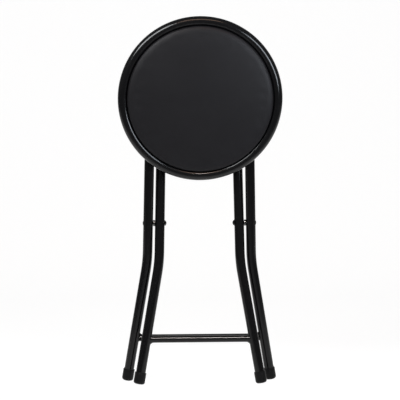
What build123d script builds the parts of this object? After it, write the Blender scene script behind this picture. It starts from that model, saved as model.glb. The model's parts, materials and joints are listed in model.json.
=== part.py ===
from build123d import *
import os
from dataclasses import dataclass
from math import acos, atan2, cos, degrees, radians, sin, tan

# A padded folding stool, folded and standing on its four feet, with the padded face towards -Y.
# X runs to the viewer's right, Z is up, and the origin is on the floor midway between the feet,
# straight below the pivot bolts. Lengths are in millimetres and angles in degrees.

# Fold
folded_lean = 4.4
open_lean = 25.0

# Leg tubes
tube_d = 18.0
tube_wall = 1.5
outer_pivot_half = 94.6
tube_gap = 3.5
upper_splay = 1.16
outer_lower_splay = 9.54
inner_lower_splay = 9.82
outer_bend_drop = 70.7
inner_bend_drop = 72.2
leg_bend_r = 280.0
corner_r = 36.0
sole_drop = 296.0
outer_bar_rise = 163.4
bar_step = 17.0

# Rungs, welded between the legs
rung_d = 12.7
rung_wall = 1.2
outer_rung_drop = 216.0
inner_rung_drop = 214.0
weld_length = 5.0
weld_drop = 3.5
weld_w = 12.0
weld_tip_d = 6.0
weld_root = 0.6

# Foot caps
foot_wall = 1.5
foot_length = 21.6
foot_lip = 0.6
sole_t = 4.0
sole_edge_r = 4.5
foot_fit = 0.05

# Pivot bolts, cap nuts and spacers
pivot_d = 6.0
pivot_fit = 0.05
pivot_play = 0.2
bolt_head_d = 9.0
bolt_head_h = 1.0
nut_d = 11.0
nut_h = 3.2
nut_thread = 1.8
spacer_d = 11.5

# Seat pan with its rolled rim
seat_d = 300.0
bead_r = 9.2
bead_curl = 40.0
pan_sheet = 0.8
pan_corner_r = 3.0
seat_gap = 0.3

# Pad
pad_gap = 0.4
pad_tuck = 20.0
pad_edge_r = 7.0
pad_edge_slope = 25.0
pad_shoulder_r = 26.0
pad_crown_slope = 4.0
cover_t = 1.0
cover_hem = 16.0
board_t = 6.0

# Saddle straps that hold the outer frame's bar
strap_w = 22.0
strap_t = 2.0
strap_fit = 0.2
strap_end_gap = 3.0
strap_bend_r = 1.6

# Forks that catch the inner frame's bar
clip_w = 16.0
clip_wall = 3.5
clip_flange_t = 4.0
clip_fit = 0.3
clip_reach = 7.0
clip_end_gap = 4.0
clip_fillet_r = 3.0
clip_tip_r = 1.2

# Screws into the board
screw_d = 4.0
screw_head_d = 8.0
screw_head_h = 2.0
screw_head_edge_r = 1.4
screw_fit = 0.05
screw_cover = 1.0
screw_land = 1.5
board_screw_inset = 8.0

# Sizes that follow from the ones above
tube_r = tube_d / 2
foot_r = tube_r + foot_fit + foot_wall
inner_pivot_half = outer_pivot_half - tube_d - tube_gap
inner_bar_rise = outer_bar_rise - bar_step
hinge_offset = outer_bar_rise * sin(radians(open_lean))
seat_rise = outer_bar_rise + hinge_offset


def sole_dip(lower_splay):
    """How far the low edge of a sole lies below the sole's centre, on a leg that leans both ways."""
    tilt = acos(cos(radians(lower_splay)) * cos(radians(folded_lean)))
    return (foot_r - sole_edge_r) * sin(tilt) + sole_edge_r * (1 - cos(tilt))


deepest_dip = max(sole_dip(outer_lower_splay), sole_dip(inner_lower_splay))
pivot_height = sole_drop * cos(radians(folded_lean)) + deepest_dip


def frame_plane(lean):
    """The plane of a leg frame: local y runs up the frame, and local z faces the viewer."""
    normal = (0, -cos(radians(lean)), -sin(radians(lean)))
    return Plane(origin=(0, 0, pivot_height), x_dir=(1, 0, 0), z_dir=normal)


@dataclass
class LegFrame:
    """One U-shaped frame: its plane and the places along its legs, measured from the pivot."""

    name: str
    plane: Plane
    pivot_half: float
    bar_rise: float
    bend_drop: float
    lower_splay: float
    rung_drop: float
    weld_side: int

    def half_width(self, rise):
        """Distance from the middle to a leg's axis, at a height above (or below) the pivot."""
        upper = self.pivot_half - rise * tan(radians(upper_splay))
        below_bend = max(0.0, -rise - self.bend_drop)
        return upper + below_bend * (tan(radians(self.lower_splay)) - tan(radians(upper_splay)))

    def leg_up(self, side):
        """Unit direction up the lower leg, in the frame's plane."""
        return Vector(-side * sin(radians(self.lower_splay)), cos(radians(self.lower_splay)))

    def sole(self, side):
        return Vector(side * self.half_width(-sole_drop), -sole_drop)

    def straight_half(self):
        """Half of the top bar's straight run."""
        turn = 90 - upper_splay
        return self.half_width(self.bar_rise) - corner_r * tan(radians(turn / 2))

    def path_points(self):
        """Corners of the tube's axis, from the left foot over the top bar to the right foot."""
        points = []
        for side in (-1, 1):
            tube_end = self.sole(side) + self.leg_up(side) * sole_t
            leg = [
                (tube_end.X, tube_end.Y),
                (side * self.half_width(-self.bend_drop), -self.bend_drop),
                (side * self.half_width(self.bar_rise), self.bar_rise),
            ]
            points += leg if side < 0 else reversed(leg)
        return points


outer = LegFrame("outer", frame_plane(folded_lean), outer_pivot_half, outer_bar_rise,
                 outer_bend_drop, outer_lower_splay, outer_rung_drop, 1)
inner = LegFrame("inner", frame_plane(-folded_lean), inner_pivot_half, inner_bar_rise,
                 inner_bend_drop, inner_lower_splay, inner_rung_drop, -1)

bend_radii = [leg_bend_r, corner_r, corner_r, leg_bend_r]
sides = {"left": -1, "right": 1}
pivot_plane = Plane(origin=(0, 0, pivot_height), x_dir=(0, 1, 0), z_dir=(1, 0, 0))
pivot_axis = Axis((0, 0, pivot_height), (1, 0, 0))

# The seat's own planes: z = 0 is the rim's underside, and local y runs up the folded seat.
seat_origin = outer.plane.from_local_coords((0, seat_rise, tube_r + seat_gap))
seat_plane = Plane(origin=seat_origin, x_dir=(1, 0, 0), z_dir=outer.plane.z_dir)
round_plane = Plane(origin=seat_origin, x_dir=(1, 0, 0), z_dir=-seat_plane.y_dir)
side_plane = Plane(origin=seat_origin, x_dir=seat_plane.y_dir, z_dir=(1, 0, 0))
seat_axis = Axis(seat_origin, seat_plane.z_dir)

# Places on the seat's underside
hinge_y = -hinge_offset
hinge_z = -(tube_r + seat_gap)
catch_y = inner_bar_rise * sin(radians(open_lean))
catch_z = hinge_z - bar_step * cos(radians(open_lean))
strap_x = outer.straight_half() - strap_end_gap - strap_w / 2
clip_x = inner.straight_half() - clip_end_gap - clip_w / 2

# Levels and radii inside the seat
ring_r = seat_d / 2 - bead_r
pan_wall_r = ring_r - bead_r
pad_r = pan_wall_r - pad_gap
pad_floor = pan_sheet
board_low = pad_floor + cover_t
board_top = board_low + board_t
screw_tip = board_top - screw_cover

# Screw places on the seat's underside
screw_room = screw_head_d + 2 * screw_land
strap_bow_r = tube_r + strap_fit + strap_t
strap_end = strap_bow_r + strap_bend_r + screw_room
strap_screw_y = strap_end - screw_room / 2
clip_fork_half = tube_r + clip_fit + clip_wall
clip_end = clip_fork_half + clip_fillet_r + screw_room
clip_screw_y = clip_end - screw_room / 2
board_screw_r = pad_r - cover_hem - board_screw_inset
strap_screw_points = [(s * strap_x, hinge_y + d) for s in (-1, 1) for d in (-strap_screw_y, strap_screw_y)]
clip_screw_points = [(s * clip_x, catch_y + d) for s in (-1, 1) for d in (-clip_screw_y, clip_screw_y)]
board_screw_points = [(board_screw_r, 0), (-board_screw_r, 0), (0, board_screw_r), (0, -board_screw_r)]
all_screw_points = strap_screw_points + clip_screw_points + board_screw_points

os.makedirs("parts", exist_ok=True)


def save(builder, name):
    builder.part.label = name
    export_step(builder.part, f"parts/{name}.step")


# Leg tubes: one bent tube for each frame, with a pivot hole through each leg
for frame in (outer, inner):
    with BuildPart() as leg_tube:
        with BuildLine(frame.plane) as tube_path:
            FilletPolyline(*frame.path_points(), radius=bend_radii)
        with BuildSketch(Plane(origin=tube_path.line @ 0, z_dir=tube_path.line % 0)):
            Circle(tube_r)
            Circle(tube_r - tube_wall, mode=Mode.SUBTRACT)
        sweep(path=tube_path.line)
        with BuildSketch(pivot_plane):
            Circle(pivot_d / 2 + pivot_fit)
        extrude(amount=outer_pivot_half + tube_d, both=True, mode=Mode.SUBTRACT)
    save(leg_tube, f"{frame.name}_leg_tube")

# Rungs: a tube coped to the round of the legs, with a weld that flares at each end,
# over the outer frame's rung and under the inner frame's
weld_slope = (weld_drop + weld_root) / weld_length
weld_depth = rung_d / 2 - weld_root + weld_slope * (weld_length + tube_r)
weld_tip_y = rung_d / 2 - weld_root - weld_tip_d / 2
for frame in (outer, inner):
    rung_centre = frame.plane.from_local_coords((0, -frame.rung_drop, 0))
    cross_plane = Plane(origin=rung_centre, x_dir=frame.plane.z_dir, z_dir=(-1, 0, 0))
    leg_x = frame.half_width(-frame.rung_drop)
    with BuildPart() as rung:
        with BuildSketch(cross_plane):
            Circle(rung_d / 2)
        extrude(amount=leg_x, both=True)
        for side in sides.values():
            with BuildSketch(cross_plane.offset(side * (leg_x - tube_r - weld_length))):
                with Locations((0, frame.weld_side * weld_tip_y)):
                    Circle(weld_tip_d / 2)
            with BuildSketch(cross_plane.offset(side * leg_x)):
                with Locations((0, frame.weld_side * weld_depth / 2)):
                    Ellipse(weld_w / 2, weld_depth / 2)
            loft()
        with BuildSketch(cross_plane):
            Circle(rung_d / 2 - rung_wall)
        extrude(amount=leg_x, both=True, mode=Mode.SUBTRACT)
        with BuildLine(frame.plane) as leg_path:
            FilletPolyline(*frame.path_points(), radius=bend_radii)
        with BuildSketch(Plane(origin=leg_path.line @ 0, z_dir=leg_path.line % 0)):
            Circle(tube_r)
        sweep(path=leg_path.line, mode=Mode.SUBTRACT)
    save(rung, f"{frame.name}_rung")

# Foot caps: a cup over each tube end, with a round-edged sole square to the leg
for frame in (outer, inner):
    for side_name, side in sides.items():
        sole_centre = frame.plane.from_local_coords(frame.sole(side))
        leg_dir = frame.plane.from_local_coords(frame.sole(side) + frame.leg_up(side)) - sole_centre
        cap_plane = Plane(origin=sole_centre, x_dir=frame.plane.z_dir, z_dir=frame.plane.z_dir.cross(leg_dir))
        with BuildPart() as foot:
            with BuildSketch(cap_plane):
                with BuildLine():
                    Line((0, 0), (foot_r - sole_edge_r, 0))
                    sole_edge = JernArc((foot_r - sole_edge_r, 0), (1, 0), sole_edge_r, 90)
                    Polyline(
                        sole_edge @ 1,
                        (foot_r, foot_length - foot_lip),
                        (foot_r - foot_lip, foot_length),
                        (tube_r + foot_fit, foot_length),
                        (tube_r + foot_fit, sole_t),
                        (0, sole_t),
                        (0, 0),
                    )
                make_face()
            revolve(axis=Axis(sole_centre, leg_dir))
        save(foot, f"{frame.name}_foot_{side_name}")


def dome_r(base_d, height):
    """Radius of the ball whose cap has this base and height."""
    return (base_d**2 / 4 + height**2) / (2 * height)


# Pivots: on each side a bolt with a low round head, a spacer between the tubes and a cap nut inside
head_x = outer_pivot_half + tube_r + pivot_play
nut_x = inner_pivot_half - tube_r - pivot_play
shank_end_x = nut_x - nut_thread
for side_name, side in sides.items():
    bolt_plane = Plane(origin=(0, 0, pivot_height), x_dir=(side, 0, 0), z_dir=(0, -side, 0))

    with BuildPart() as bolt:
        with BuildSketch(bolt_plane):
            with BuildLine():
                Polyline(
                    (shank_end_x, 0),
                    (shank_end_x, pivot_d / 2),
                    (head_x, pivot_d / 2),
                    (head_x, bolt_head_d / 2),
                )
                dome = RadiusArc(
                    (head_x, bolt_head_d / 2), (head_x + bolt_head_h, 0), dome_r(bolt_head_d, bolt_head_h)
                )
                Line(dome @ 1, (shank_end_x, 0))
            make_face()
        revolve(axis=pivot_axis)
    save(bolt, f"pivot_bolt_{side_name}")

    with BuildPart() as spacer:
        with BuildSketch(pivot_plane.offset(side * (inner_pivot_half + tube_r + tube_gap / 2))):
            Circle(spacer_d / 2)
            Circle(pivot_d / 2 + pivot_fit, mode=Mode.SUBTRACT)
        extrude(amount=tube_gap / 2 - pivot_play, both=True)
    save(spacer, f"pivot_spacer_{side_name}")

    with BuildPart() as nut:
        with BuildSketch(bolt_plane):
            with BuildLine():
                Polyline(
                    (shank_end_x, 0),
                    (shank_end_x, pivot_d / 2 + pivot_fit),
                    (nut_x, pivot_d / 2 + pivot_fit),
                    (nut_x, nut_d / 2),
                )
                cap = RadiusArc((nut_x, nut_d / 2), (nut_x - nut_h, 0), -dome_r(nut_d, nut_h))
                Line(cap @ 1, (shank_end_x, 0))
            make_face()
        revolve(axis=pivot_axis)
    save(nut, f"pivot_nut_{side_name}")

# Seat pan: pressed sheet whose wall rolls over into a hollow bead and curls under
with BuildPart() as seat_pan:
    with BuildSketch(round_plane):
        with BuildLine():
            bead_sweep = 270 + bead_curl
            top_floor = Line((0, pan_sheet), (pan_wall_r - pan_corner_r, pan_sheet))
            top_corner = JernArc(top_floor @ 1, (1, 0), pan_corner_r, 90)
            top_wall = Line(top_corner @ 1, (pan_wall_r, bead_r))
            bead_out = CenterArc((ring_r, bead_r), bead_r, 180, -bead_sweep)
            bead_in = CenterArc((ring_r, bead_r), bead_r - pan_sheet, 180, -bead_sweep)
            Line(bead_out @ 1, bead_in @ 1)
            under_wall = Line(bead_in @ 0, (pan_wall_r + pan_sheet, pan_sheet + pan_corner_r))
            under_corner = JernArc(under_wall @ 1, (0, -1), pan_corner_r + pan_sheet, -90)
            Polyline(under_corner @ 1, (0, 0), (0, pan_sheet))
        make_face()
    revolve(axis=seat_axis)
    with BuildSketch(seat_plane):
        with Locations(*all_screw_points):
            Circle(screw_d / 2 + screw_fit)
    extrude(amount=pan_sheet, mode=Mode.SUBTRACT)
save(seat_pan, "seat_pan")


def slope_normal(slope):
    """Direction that points up and out from a face that falls outwards by this slope."""
    return Vector(sin(radians(slope)), cos(radians(slope)))


def pad_section(inset):
    """Half section of the crowned pad that bulges over the bead, drawn in by the inset all round."""
    low = pad_floor + inset
    corner = pan_corner_r - inset
    tuck_r = bead_r + pad_gap + inset
    edge_r = pad_edge_r - inset
    shoulder_r = pad_shoulder_r - inset
    bead_centre = Vector(ring_r, bead_r)
    edge_centre = bead_centre + slope_normal(pad_tuck - 90) * (tuck_r + edge_r)
    shoulder_centre = edge_centre + slope_normal(pad_edge_slope) * (edge_r - shoulder_r)
    crown_centre = Vector(0, shoulder_centre.Y - shoulder_centre.X / tan(radians(pad_crown_slope)))
    crown_r = shoulder_r + shoulder_centre.X / sin(radians(pad_crown_slope))
    with BuildSketch(round_plane) as section:
        with BuildLine():
            crown = CenterArc(crown_centre, crown_r, 90, -pad_crown_slope)
            CenterArc(shoulder_centre, shoulder_r, 90 - pad_crown_slope, pad_crown_slope - pad_edge_slope)
            CenterArc(edge_centre, edge_r, 90 - pad_edge_slope, pad_edge_slope - pad_tuck - 90)
            tuck = CenterArc(bead_centre, tuck_r, 180 - pad_tuck, pad_tuck)
            side_line = Line(tuck @ 1, (pad_r - inset, low + corner))
            fold = RadiusArc(side_line @ 1, (pad_r - inset - corner, low), corner)
            Polyline(fold @ 1, (0, low), crown @ 0)
        make_face()
    return section.sketch


# Seat cover: vinyl drawn over the foam and the board's edge, with its hem folded under the board
with BuildPart() as seat_cover:
    revolve(profiles=pad_section(0), axis=seat_axis)
    revolve(profiles=pad_section(cover_t), axis=seat_axis, mode=Mode.SUBTRACT)
    with BuildSketch(seat_plane.offset(pad_floor)):
        Circle(pad_r - cover_hem)
    extrude(amount=cover_t, mode=Mode.SUBTRACT)
save(seat_cover, "seat_cover")

# Seat board: plywood disc that fills the low part of the cover and takes the screws
with BuildPart() as seat_board:
    revolve(profiles=pad_section(cover_t), axis=seat_axis)
    split(bisect_by=seat_plane.offset(board_top), keep=Keep.BOTTOM)
    with BuildSketch(seat_plane.offset(board_low)):
        with Locations(*all_screw_points):
            Circle(screw_d / 2 + screw_fit)
    extrude(amount=screw_tip - board_low, mode=Mode.SUBTRACT)
save(seat_board, "seat_board")

# Seat foam: fills the cover above the board
with BuildPart() as seat_foam:
    revolve(profiles=pad_section(cover_t), axis=seat_axis)
    split(bisect_by=seat_plane.offset(board_top), keep=Keep.TOP)
save(seat_foam, "seat_foam")

# Hinge straps: steel bows round the outer bar, with a flat flange on each side
strap_in_r = strap_bow_r - strap_t
for side_name, side in sides.items():
    strap_origin = seat_plane.from_local_coords((side * strap_x, hinge_y, 0))
    with BuildPart() as hinge_strap:
        with BuildSketch(Plane(origin=strap_origin, x_dir=seat_plane.y_dir, z_dir=(1, 0, 0))):
            with BuildLine():
                FilletPolyline(
                    (strap_end, 0), (strap_in_r, 0), (strap_in_r, hinge_z), radius=strap_bend_r + strap_t
                )
                CenterArc((0, hinge_z), strap_in_r, 0, -90)
                CenterArc((0, hinge_z), strap_bow_r, 0, -90)
                under_side = FilletPolyline(
                    (strap_bow_r, hinge_z),
                    (strap_bow_r, -strap_t),
                    (strap_end, -strap_t),
                    radius=strap_bend_r,
                )
                Line(under_side @ 1, (strap_end, 0))
                mirror(about=Plane.YZ)
            make_face()
        extrude(amount=strap_w / 2, both=True)
        with BuildSketch(seat_plane):
            with Locations(*strap_screw_points):
                Circle(screw_d / 2 + screw_fit)
        extrude(amount=-strap_t, mode=Mode.SUBTRACT)
    save(hinge_strap, f"hinge_strap_{side_name}")

# Bar clips: plastic forks whose slot follows the arc that the bar travels round the hinge
hinge_point = Vector(hinge_y, hinge_z)
catch_point = Vector(catch_y, catch_z)
catch_arm = catch_point - hinge_point
catch_angle = degrees(atan2(catch_arm.Y, catch_arm.X))
slot_angle = degrees((clip_reach + tube_d) / catch_arm.length)
clip_foot_z = catch_z - clip_reach
for side_name, side in sides.items():
    with BuildPart() as bar_clip:
        with BuildSketch(side_plane.offset(side * clip_x)):
            with Locations((catch_y, -clip_flange_t / 2)):
                Rectangle(2 * clip_end, clip_flange_t)
            with Locations((catch_y, clip_foot_z / 2)):
                Rectangle(2 * clip_fork_half, -clip_foot_z)
            with BuildLine(mode=Mode.PRIVATE) as bar_travel:
                CenterArc(hinge_point, catch_arm.length, catch_angle, -slot_angle)
            SlotArc(bar_travel.edge(), 2 * (tube_r + clip_fit), mode=Mode.SUBTRACT)
        extrude(amount=clip_w / 2, both=True)
        web_corners = [
            edge for edge in bar_clip.edges().filter_by(Axis.X)
            if abs(side_plane.to_local_coords(edge.center()).Y + clip_flange_t) < clip_fit
            and abs(abs(side_plane.to_local_coords(edge.center()).X - catch_y) - clip_fork_half) < clip_fit
        ]
        fillet(web_corners, clip_fillet_r)
        fillet(bar_clip.edges().filter_by(Axis.X).group_by(seat_axis)[0], clip_tip_r)
        with BuildSketch(seat_plane):
            with Locations(*clip_screw_points):
                Circle(screw_d / 2 + screw_fit)
        extrude(amount=-clip_flange_t, mode=Mode.SUBTRACT)
    save(bar_clip, f"bar_clip_{side_name}")

# Screws: round heads under the straps, the clips and the pan, with shanks into the board
screw_groups = {
    "strap_screws": (strap_screw_points, -strap_t),
    "clip_screws": (clip_screw_points, -clip_flange_t),
    "board_screws": (board_screw_points, 0.0),
}
for name, (points, seat_level) in screw_groups.items():
    with BuildPart() as screws:
        with BuildSketch(seat_plane.offset(seat_level)):
            with Locations(*points):
                Circle(screw_head_d / 2)
        extrude(amount=-screw_head_h)
        fillet(screws.faces().group_by(seat_axis)[0].edges(), screw_head_edge_r)
        with BuildSketch(seat_plane.offset(seat_level)):
            with Locations(*points):
                Circle(screw_d / 2)
        extrude(amount=screw_tip - seat_level)
    save(screws, name)
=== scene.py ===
# %% [markdown]
# # A padded folding stool, dressed for its portrait
#
# The stool stands folded, with its round seat turned to the viewer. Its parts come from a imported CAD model,
# which is loaded first and never moved. Each later cell makes one piece or one finish over that frame.
# Lengths are in metres, X runs to the viewer's right, Y runs away from the viewer and Z is up.

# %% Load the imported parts
import json
import math

import bmesh
import bpy
from mathutils import Matrix, Vector
from mathutils.bvhtree import BVHTree


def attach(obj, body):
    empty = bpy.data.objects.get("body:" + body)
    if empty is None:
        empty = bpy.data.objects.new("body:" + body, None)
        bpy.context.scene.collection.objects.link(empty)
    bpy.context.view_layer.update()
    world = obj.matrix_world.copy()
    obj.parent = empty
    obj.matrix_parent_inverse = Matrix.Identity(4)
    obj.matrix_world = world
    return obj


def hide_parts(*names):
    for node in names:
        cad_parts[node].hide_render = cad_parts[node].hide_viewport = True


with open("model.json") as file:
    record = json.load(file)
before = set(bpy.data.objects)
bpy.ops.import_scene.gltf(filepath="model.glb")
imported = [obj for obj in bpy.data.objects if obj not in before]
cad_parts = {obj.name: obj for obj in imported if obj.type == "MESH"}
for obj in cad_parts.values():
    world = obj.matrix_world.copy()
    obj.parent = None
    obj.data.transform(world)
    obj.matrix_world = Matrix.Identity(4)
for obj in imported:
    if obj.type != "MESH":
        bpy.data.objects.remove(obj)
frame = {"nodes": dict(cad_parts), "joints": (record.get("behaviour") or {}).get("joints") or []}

MM = 0.001
scene = bpy.context.scene
nodes = frame["nodes"]
joints = {joint["name"]: joint for joint in frame["joints"]}
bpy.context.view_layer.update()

# %% [markdown]
# ## Directions of the folded stool
#
# The two leg frames lean a few degrees against each other, and the seat lies flat against the outer one.
# Typing the lean in by hand would work until somebody changes the CAD model. The joints already hold it: the
# line from the pivot bolts to the seat's hinge runs up the outer frame. Every piece of the seat is modelled
# flat, in the seat's own directions, and then carried to its place by one matrix.

# %% Work out the planes of both frames and of the seat
TUBE_R = 9.0 * MM
SEAT_GAP = 0.3 * MM

pivot = Vector(joints["outer_leg_swing"]["pos_m"])
hinge = Vector(joints["seat_flip"]["pos_m"])
up_outer = hinge - pivot
bar_rise = up_outer.length
folded_lean = math.atan2(abs(up_outer.y), up_outer.z)
open_lean = folded_lean + math.radians(joints["outer_leg_swing"]["range_deg"][1])
seat_rise = bar_rise * (1 + math.sin(open_lean))


def leaning_plane(lean_sign):
    """Matrix of a leg frame's plane: x right, y up the frame, z to the viewer, origin between the pivots."""
    up = Vector((0, lean_sign * up_outer.y, up_outer.z)).normalized()
    right = Vector((1, 0, 0))
    turn = Matrix((right, up, right.cross(up))).transposed()
    return Matrix.Translation(pivot) @ turn.to_4x4()


outer_plane = leaning_plane(1)
inner_plane = leaning_plane(-1)
seat_plane = outer_plane @ Matrix.Translation((0, seat_rise, TUBE_R + SEAT_GAP))
print("folded lean", round(math.degrees(folded_lean), 2), "degrees")
print("seat centre", [round(v, 4) for v in seat_plane.translation])

# %% [markdown]
# ## The camera
#
# The photograph was taken from about four metres away with a long lens, a little to the left and a little
# above the seat. A short lens close by would show the same width of seat, but it would make the feet and the
# seat disagree in scale. The values here come from fitting leg edges, feet and rim together.

# %% Set up the camera
CAMERA_PLACE = Vector((-0.1925, -4.0037, 0.6963))
CAMERA_YAW = math.radians(2.767)
CAMERA_PITCH = math.radians(5.100)
CAMERA_ROLL = math.radians(-0.084)
SENSOR_WIDTH = 36.0
FOCAL_PIXELS = 2186.26
FRAME_PIXELS = 400


def add_object(name, data):
    """Put data in the scene as a new object at the origin."""
    made = bpy.data.objects.new(name, data)
    scene.collection.objects.link(made)
    return made


# A camera at rest looks straight down, so it is tipped up by a quarter turn less its pitch
tip = Matrix.Rotation(math.radians(90) - CAMERA_PITCH, 4, "X")
camera_turn = Matrix.Rotation(-CAMERA_YAW, 4, "Z") @ tip @ Matrix.Rotation(CAMERA_ROLL, 4, "Z")
camera_data = bpy.data.cameras.new("portrait_camera")
camera_data.sensor_width = SENSOR_WIDTH
camera_data.lens = SENSOR_WIDTH * FOCAL_PIXELS / FRAME_PIXELS
camera = add_object("portrait_camera", camera_data)
camera.matrix_world = Matrix.Translation(CAMERA_PLACE) @ camera_turn
scene.camera = camera
scene.view_settings.view_transform = "Standard"
print("lens", round(camera_data.lens, 1), "mm")

# %% [markdown]
# ## Helpers for node trees
#
# Materials, the world and Geometry Nodes are all node trees. A few small functions keep them readable: they
# add a node and fill in or link its sockets, do a sum, start a group, or start a material. A socket is named
# by its label, or by its number where two sockets share one label.

# %% Define the node helpers


def add_node(tree, kind, values=None, **settings):
    """Add a node, set its properties, then set or link its inputs."""
    made = tree.nodes.new(kind)
    for name, value in settings.items():
        setattr(made, name, value)
    for name, value in (values or {}).items():
        if isinstance(value, bpy.types.NodeSocket):
            tree.links.new(value, made.inputs[name])
        else:
            made.inputs[name].default_value = value
    return made


def math_node(tree, operation, *values):
    """Add a Math node and hand back its result."""
    return add_node(tree, "ShaderNodeMath", dict(enumerate(values)), operation=operation).outputs[0]


def new_group(name, tree_kind, inputs, outputs):
    """Start a node group with named sockets, and hand back its tree, its input node and its output node."""
    tree = bpy.data.node_groups.new(name, tree_kind)
    for label, kind, default in inputs:
        made = tree.interface.new_socket(label, in_out="INPUT", socket_type="NodeSocket" + kind)
        if default is not None:
            made.default_value = default
    for label, kind in outputs:
        tree.interface.new_socket(label, in_out="OUTPUT", socket_type="NodeSocket" + kind)
    return tree, tree.nodes.new("NodeGroupInput"), tree.nodes.new("NodeGroupOutput")


def new_material(name):
    """Start a material and hand back its tree, its Principled shader and the material."""
    made = bpy.data.materials.new(name)
    made.use_nodes = True
    return made.node_tree, made.node_tree.nodes["Principled BSDF"], made


print("node helpers ready for Blender", bpy.app.version_string)

# %% [markdown]
# ## White paper in a grey studio
#
# The photograph's background is pure white, yet the black enamel in front shows almost no white in it. That
# happens when a sheet of white paper runs under and behind the stool and the rest of the room is dimmer. A
# white world all round would be simpler, but it would turn every black tube grey. So a sheet of paper curves
# up behind the stool. It is white to the camera and in reflections, plain paper to all other light, and clear
# when seen from its back, so that views from behind still reach the stool. Towards its edges the white fades
# away, and a plain pale floor goes on in every direction. The floor is clear from below in the same way, so
# the underside can be looked at.

# %% Make the paper sweep and the studio floor
PAPER_MIDDLE = 0.08
PAPER_HALF_WIDTH = 3.0
PAPER_FRONT = -0.8
PAPER_BACK = 1.6
PAPER_CURVE_R = 0.4
PAPER_TOP = 1.3
FLOOR_R = 9.0
FLOOR_DROP = 2 * MM
FLOOR_SIDES = 72


def mesh_from(name, points, faces):
    """A mesh from points and faces."""
    mesh = bpy.data.meshes.new(name)
    mesh.from_pydata([tuple(point) for point in points], [], faces)
    mesh.update()
    return mesh


def from_centre(centre, radius, angle):
    """The point at an angle, in degrees, and a distance from a centre."""
    turn = math.radians(angle)
    return (centre[0] + radius * math.cos(turn), centre[1] + radius * math.sin(turn))


def arc(centre, radius, start, sweep, steps):
    """Points on an arc, in degrees, with both ends."""
    return [from_centre(centre, radius, start + sweep * step / steps) for step in range(steps + 1)]


def strip(line, edges):
    """Points and faces of a strip: a side view of (y, z) points, drawn out between two values of x."""
    points = [(x, y, z) for y, z in line for x in edges]
    faces = [(2 * i, 2 * i + 1, 2 * i + 3, 2 * i + 2) for i in range(len(line) - 1)]
    return points, faces


paper_line = [(PAPER_FRONT, 0.0)]
paper_line += arc((PAPER_BACK - PAPER_CURVE_R, PAPER_CURVE_R), PAPER_CURVE_R, -90, 90, steps=16)
paper_line += [(PAPER_BACK, PAPER_TOP)]
paper_edges = (PAPER_MIDDLE - PAPER_HALF_WIDTH, PAPER_MIDDLE + PAPER_HALF_WIDTH)
paper = add_object("paper_sweep", mesh_from("paper_sweep", *strip(paper_line, paper_edges)))
paper.data.shade_smooth()

floor_points = [(x, y, -FLOOR_DROP) for x, y in arc((0, 0), FLOOR_R, 0, 360, FLOOR_SIDES)[:-1]]
floor_mesh = mesh_from("studio_floor", floor_points, [tuple(range(FLOOR_SIDES))])
studio_floor = add_object("studio_floor", floor_mesh)
print("paper strips", len(paper.data.polygons))

# %% Colour the floor and the room
SHEET_PALE = 0.7
SHEET_ROUGHNESS = 0.9
ROOM_GREY = 0.19


def grey(level):
    """A grey as a colour with alpha."""
    return (level, level, level, 1)


def matt_sheet(name):
    """Start the matt pale material of the paper or the floor."""
    tree, shader, made = new_material(name)
    shader.inputs["Base Color"].default_value = grey(SHEET_PALE)
    shader.inputs["Roughness"].default_value = SHEET_ROUGHNESS
    shader.inputs["Specular IOR Level"].default_value = 0.0
    return tree, shader, made


def clear_from_behind(tree, shader):
    """Show a shader on the front of a surface and leave its back clear."""
    facing = tree.nodes.new("ShaderNodeNewGeometry")
    clear = tree.nodes.new("ShaderNodeBsdfTransparent")
    both = add_node(tree, "ShaderNodeMixShader", {
        0: facing.outputs["Backfacing"], 1: shader.outputs[0], 2: clear.outputs[0]})
    tree.links.new(both.outputs[0], tree.nodes["Material Output"].inputs["Surface"])


tree, plain, floor_material = matt_sheet("pale_floor")
clear_from_behind(tree, plain)
studio_floor.data.materials.append(floor_material)

world = bpy.data.worlds.new("grey_room")
world.use_nodes = True
world.node_tree.nodes["Background"].inputs["Color"].default_value = grey(ROOM_GREY)
scene.world = world
print("floor", SHEET_PALE, "room", ROOM_GREY)

# %% Make the paper white where it is looked at
PAPER_GLOW = 0.9
PAPER_TINT = 0.25
GLOW_FRONT = (-0.6, -0.18)
GLOW_SIDE = (2.9, 1.0)
GLOW_TOP = (1.25, 0.85)

tree, plain, paper_material = matt_sheet("white_paper")
place = tree.nodes.new("ShaderNodeTexCoord")
axes = add_node(tree, "ShaderNodeSeparateXYZ", {"Vector": place.outputs["Object"]}).outputs
aside = math_node(tree, "ABSOLUTE", math_node(tree, "SUBTRACT", axes["X"], PAPER_MIDDLE))
white = 1.0
for value, (none, full) in ((axes["Y"], GLOW_FRONT), (aside, GLOW_SIDE), (axes["Z"], GLOW_TOP)):
    fade = add_node(tree, "ShaderNodeMapRange", {"Value": value, "From Min": none, "From Max": full},
                    interpolation_type="SMOOTHSTEP")
    white = math_node(tree, "MULTIPLY", white, fade.outputs["Result"])
rays = tree.nodes.new("ShaderNodeLightPath").outputs
seen = math_node(tree, "MAXIMUM", rays["Is Camera Ray"], rays["Is Glossy Ray"])
seen = math_node(tree, "MAXIMUM", seen, rays["Is Transmission Ray"])
glow = add_node(tree, "ShaderNodeEmission", {"Color": grey(1), "Strength": PAPER_GLOW})
tint = add_node(tree, "ShaderNodeBsdfDiffuse", {"Color": grey(PAPER_TINT)})
bright = add_node(tree, "ShaderNodeAddShader", {0: glow.outputs[0], 1: tint.outputs[0]})
clear = tree.nodes.new("ShaderNodeBsdfTransparent")
shown = add_node(tree, "ShaderNodeMixShader", {0: white, 1: clear.outputs[0], 2: bright.outputs[0]})
front = add_node(tree, "ShaderNodeMixShader", {0: seen, 1: plain.outputs[0], 2: shown.outputs[0]})
clear_from_behind(tree, front)
paper.data.materials.append(paper_material)
print("white paper", len(tree.nodes), "nodes")

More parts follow.
